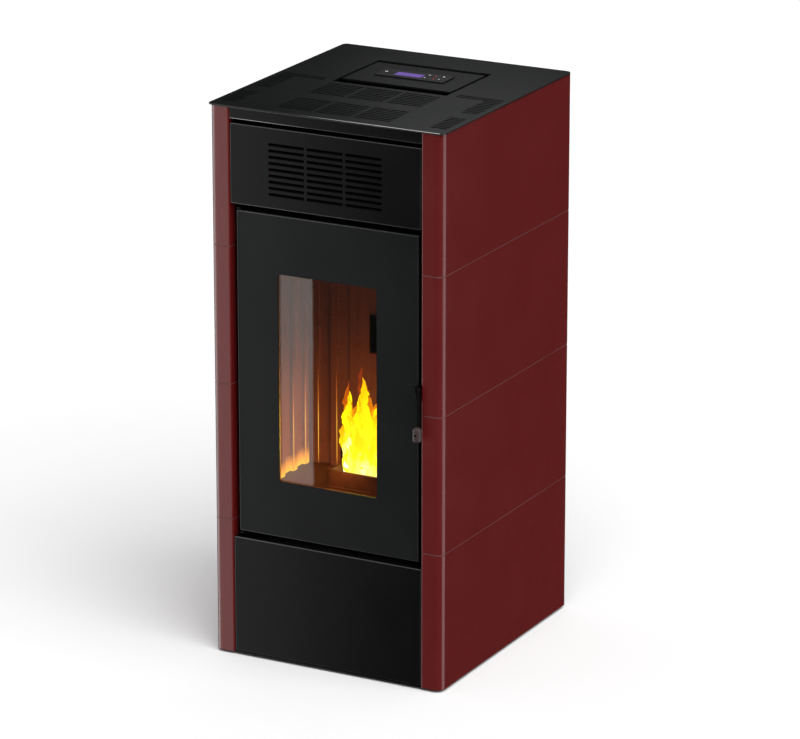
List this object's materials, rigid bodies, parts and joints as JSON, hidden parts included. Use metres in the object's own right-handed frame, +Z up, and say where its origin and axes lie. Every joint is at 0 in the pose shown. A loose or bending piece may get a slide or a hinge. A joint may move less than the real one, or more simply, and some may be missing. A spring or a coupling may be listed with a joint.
{
  "type": "pellet stove",
  "caption": "Tall free-standing pellet stove: dark red stacked casings, black front with glazed fire door, slotted top plate, hopper lid with controls, inner firebox, auger and fans.",
  "frame": {"origin": "on the floor under the middle of the stove's bounding box, under the levelling feet", "axes": "+X to the stove's right as seen from the front, +Y to the rear, +Z up; the fire door faces -Y"},
  "size_m": [0.472, 0.5494, 1.0416],
  "materials": {
    "red_casing": "satin dark red paint on folded steel",
    "black_textured_steel": "fine-textured matt black stove paint",
    "black_satin_steel": "satin black stove paint",
    "zinc_steel": "zinc-plated sheet and turned steel",
    "stainless_steel": "bright stainless steel",
    "aluminium": "die-cast aluminium",
    "cast_iron": "sooty cast iron",
    "fire_liner": "heat-stained pressed vermiculite",
    "ceramic_glass": "clear ceramic glass with a smoky tint",
    "seal_rope": "braided glass-fibre rope",
    "black_plastic": "satin black plastic",
    "key_cap": "black key caps with plain white marks",
    "lit_display": "backlit violet display",
    "circuit_board": "green lacquered circuit board"
  },
  "bodies": {
    "stove": {"base_plate": "black_satin_steel", "left_casing_bottom": "red_casing", "left_casing_lower": "red_casing", "left_casing_upper": "red_casing", "left_casing_top": "red_casing", "right_casing_bottom": "red_casing", "right_casing_lower": "red_casing", "right_casing_upper": "red_casing", "right_casing_top": "red_casing", "top_plate": "black_textured_steel", "rear_cover": "zinc_steel", "front_frame": "black_satin_steel", "front_crossbar": "black_satin_steel", "upper_grille": "black_satin_steel", "lower_front_panel": "black_satin_steel", "upper_door_hinge": "black_satin_steel", "lower_door_hinge": "black_satin_steel", "door_catch": "zinc_steel", "firebox": "black_satin_steel", "left_liner": "fire_liner", "right_liner": "fire_liner", "back_liner": "fire_liner", "flame_baffle": "fire_liner", "burn_pot_ledge": "cast_iron", "igniter": "stainless_steel", "ash_pan": "zinc_steel", "pellet_hopper": "black_satin_steel", "auger_tube": "black_satin_steel", "auger_gearmotor": "aluminium", "lid_hinge": "zinc_steel", "exhaust_fan_housing": "zinc_steel", "exhaust_motor": "black_satin_steel", "flue_outlet": "black_satin_steel", "air_intake": "zinc_steel", "room_fan_housing": "zinc_steel", "room_fan_motor": "black_satin_steel", "mains_inlet": "black_plastic", "control_board": "circuit_board"},
    "fire_door": {"door_panel": "black_textured_steel", "door_glass": "ceramic_glass", "glass_retainer": "zinc_steel", "door_seal": "seal_rope"},
    "door_lever": {"door_handle": "black_satin_steel"},
    "lid": {"hopper_lid": "black_textured_steel", "control_panel": "black_plastic", "display": "lit_display"},
    "power_key": {"key_power": "key_cap"},
    "menu_key": {"key_menu": "key_cap"},
    "confirm_key": {"key_confirm": "key_cap"},
    "down_key": {"key_down": "key_cap"},
    "up_key": {"key_up": "key_cap"},
    "auger": {"auger_screw": "stainless_steel"},
    "exhaust_wheel": {"exhaust_impeller": "stainless_steel"},
    "room_fan_wheel": {"room_fan_impeller": "aluminium"},
    "rocker": {"mains_switch": "black_plastic"},
    "pot": {"burn_pot": "cast_iron"},
    "front_left_foot": {"levelling_foot_front_left": "zinc_steel"},
    "front_right_foot": {"levelling_foot_front_right": "zinc_steel"},
    "rear_left_foot": {"levelling_foot_rear_left": "zinc_steel"},
    "rear_right_foot": {"levelling_foot_rear_right": "zinc_steel"}
  },
  "joints": [
    {"name": "fire_door_hinge", "type": "hinge", "parent": "stove", "child": "fire_door", "pos_m": [-0.178, -0.24, 0.544], "axis": [0, 0, -1], "range_deg": [0, 110]},
    {"name": "door_lever_pivot", "type": "hinge", "parent": "fire_door", "child": "door_lever", "pos_m": [0.19, -0.2577, 0.568], "axis": [-1, 0, 0], "range_deg": [0, 45]},
    {"name": "hopper_lid_hinge", "type": "hinge", "parent": "stove", "child": "lid", "pos_m": [0, 0.1575, 1.03], "axis": [-1, 0, 0], "range_deg": [0, 85]},
    {"name": "power_key_press", "type": "slide", "parent": "lid", "child": "power_key", "axis": [0, 0, -1], "range_m": [0, 0.0008], "stiffness_N_per_m": 2000},
    {"name": "menu_key_press", "type": "slide", "parent": "lid", "child": "menu_key", "axis": [0, 0, -1], "range_m": [0, 0.0008], "stiffness_N_per_m": 2000},
    {"name": "confirm_key_press", "type": "slide", "parent": "lid", "child": "confirm_key", "axis": [0, 0, -1], "range_m": [0, 0.0008], "stiffness_N_per_m": 2000},
    {"name": "down_key_press", "type": "slide", "parent": "lid", "child": "down_key", "axis": [0, 0, -1], "range_m": [0, 0.0008], "stiffness_N_per_m": 2000},
    {"name": "up_key_press", "type": "slide", "parent": "lid", "child": "up_key", "axis": [0, 0, -1], "range_m": [0, 0.0008], "stiffness_N_per_m": 2000},
    {"name": "auger_turn", "type": "hinge", "parent": "stove", "child": "auger", "pos_m": [0, -0.0004, 0.62], "axis": [0, 0.7071, -0.7071], "continuous": true},
    {"name": "exhaust_wheel_turn", "type": "hinge", "parent": "stove", "child": "exhaust_wheel", "pos_m": [-0.06, 0.09, 0.14], "axis": [0, 1, 0], "continuous": true},
    {"name": "room_fan_wheel_turn", "type": "hinge", "parent": "stove", "child": "room_fan_wheel", "pos_m": [0.04, -0.11, 0.115], "axis": [1, 0, 0], "continuous": true},
    {"name": "mains_switch_rock", "type": "hinge", "parent": "stove", "child": "rocker", "pos_m": [0.17, 0.2475, 0.114], "axis": [-1, 0, 0], "range_deg": [0, 16]},
    {"name": "burn_pot_lift", "type": "slide", "parent": "stove", "child": "pot", "axis": [0, 0, 1], "range_m": [0, 0.06]},
    {"name": "front_left_foot_turn", "type": "hinge", "parent": "stove", "child": "front_left_foot", "pos_m": [-0.202, -0.1905, 0], "axis": [0, 0, 1], "continuous": true},
    {"name": "front_right_foot_turn", "type": "hinge", "parent": "stove", "child": "front_right_foot", "pos_m": [0.202, -0.1905, 0], "axis": [0, 0, 1], "continuous": true},
    {"name": "rear_left_foot_turn", "type": "hinge", "parent": "stove", "child": "rear_left_foot", "pos_m": [-0.202, 0.1905, 0], "axis": [0, 0, 1], "continuous": true},
    {"name": "rear_right_foot_turn", "type": "hinge", "parent": "stove", "child": "rear_right_foot", "pos_m": [0.202, 0.1905, 0], "axis": [0, 0, 1], "continuous": true}
  ]
}
